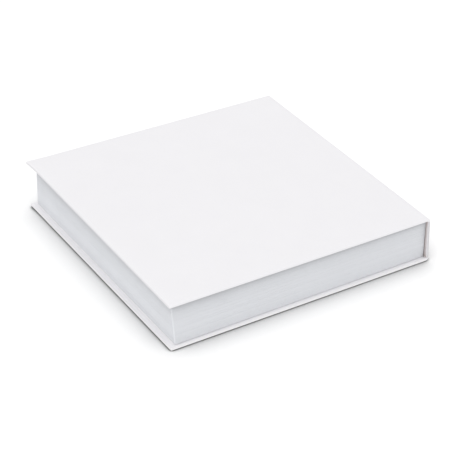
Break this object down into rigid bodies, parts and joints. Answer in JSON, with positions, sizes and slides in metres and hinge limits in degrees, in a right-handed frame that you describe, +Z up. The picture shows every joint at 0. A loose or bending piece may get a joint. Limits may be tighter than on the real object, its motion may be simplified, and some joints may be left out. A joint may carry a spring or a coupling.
{
  "type": "sticky note pad",
  "caption": "Square sticky note pad: a thick block of pale sheets taped inside a white paper-covered hard case that folds along its spine.",
  "frame": {"origin": "middle of the underside of the closed case", "axes": "+Z up, +X towards the spine, +Y towards the head; the fore-edge is at -X"},
  "size_m": [0.104, 0.1042, 0.0189],
  "materials": {
    "cover_paper": "matte white, fine grain",
    "liner_paper": "matte white, uncoated",
    "board": "grey pressed board",
    "notes": "cut edges of stacked sheets, pale cool grey",
    "tape": "tissue tape, sticky on both sides"
  },
  "bodies": {
    "base": {"base_cover_paper": "cover_paper", "base_board": "board", "base_liner": "liner_paper", "note_block": "notes", "fixing_tape": "tape"},
    "spine": {"spine_cover_paper": "cover_paper", "spine_board": "board", "spine_liner": "liner_paper"},
    "lid": {"lid_cover_paper": "cover_paper", "lid_board": "board", "lid_liner": "liner_paper"}
  },
  "joints": [
    {"name": "spine_fold", "type": "hinge", "parent": "base", "child": "spine", "pos_m": [0.05171, 0, 0.00028], "axis": [0, 1, 0], "range_deg": [0, 90]},
    {"name": "lid_fold", "type": "hinge", "parent": "spine", "child": "lid", "pos_m": [0.05171, 0, 0.01731], "axis": [0, 1, 0], "range_deg": [-0.5, 89.2]}
  ]
}
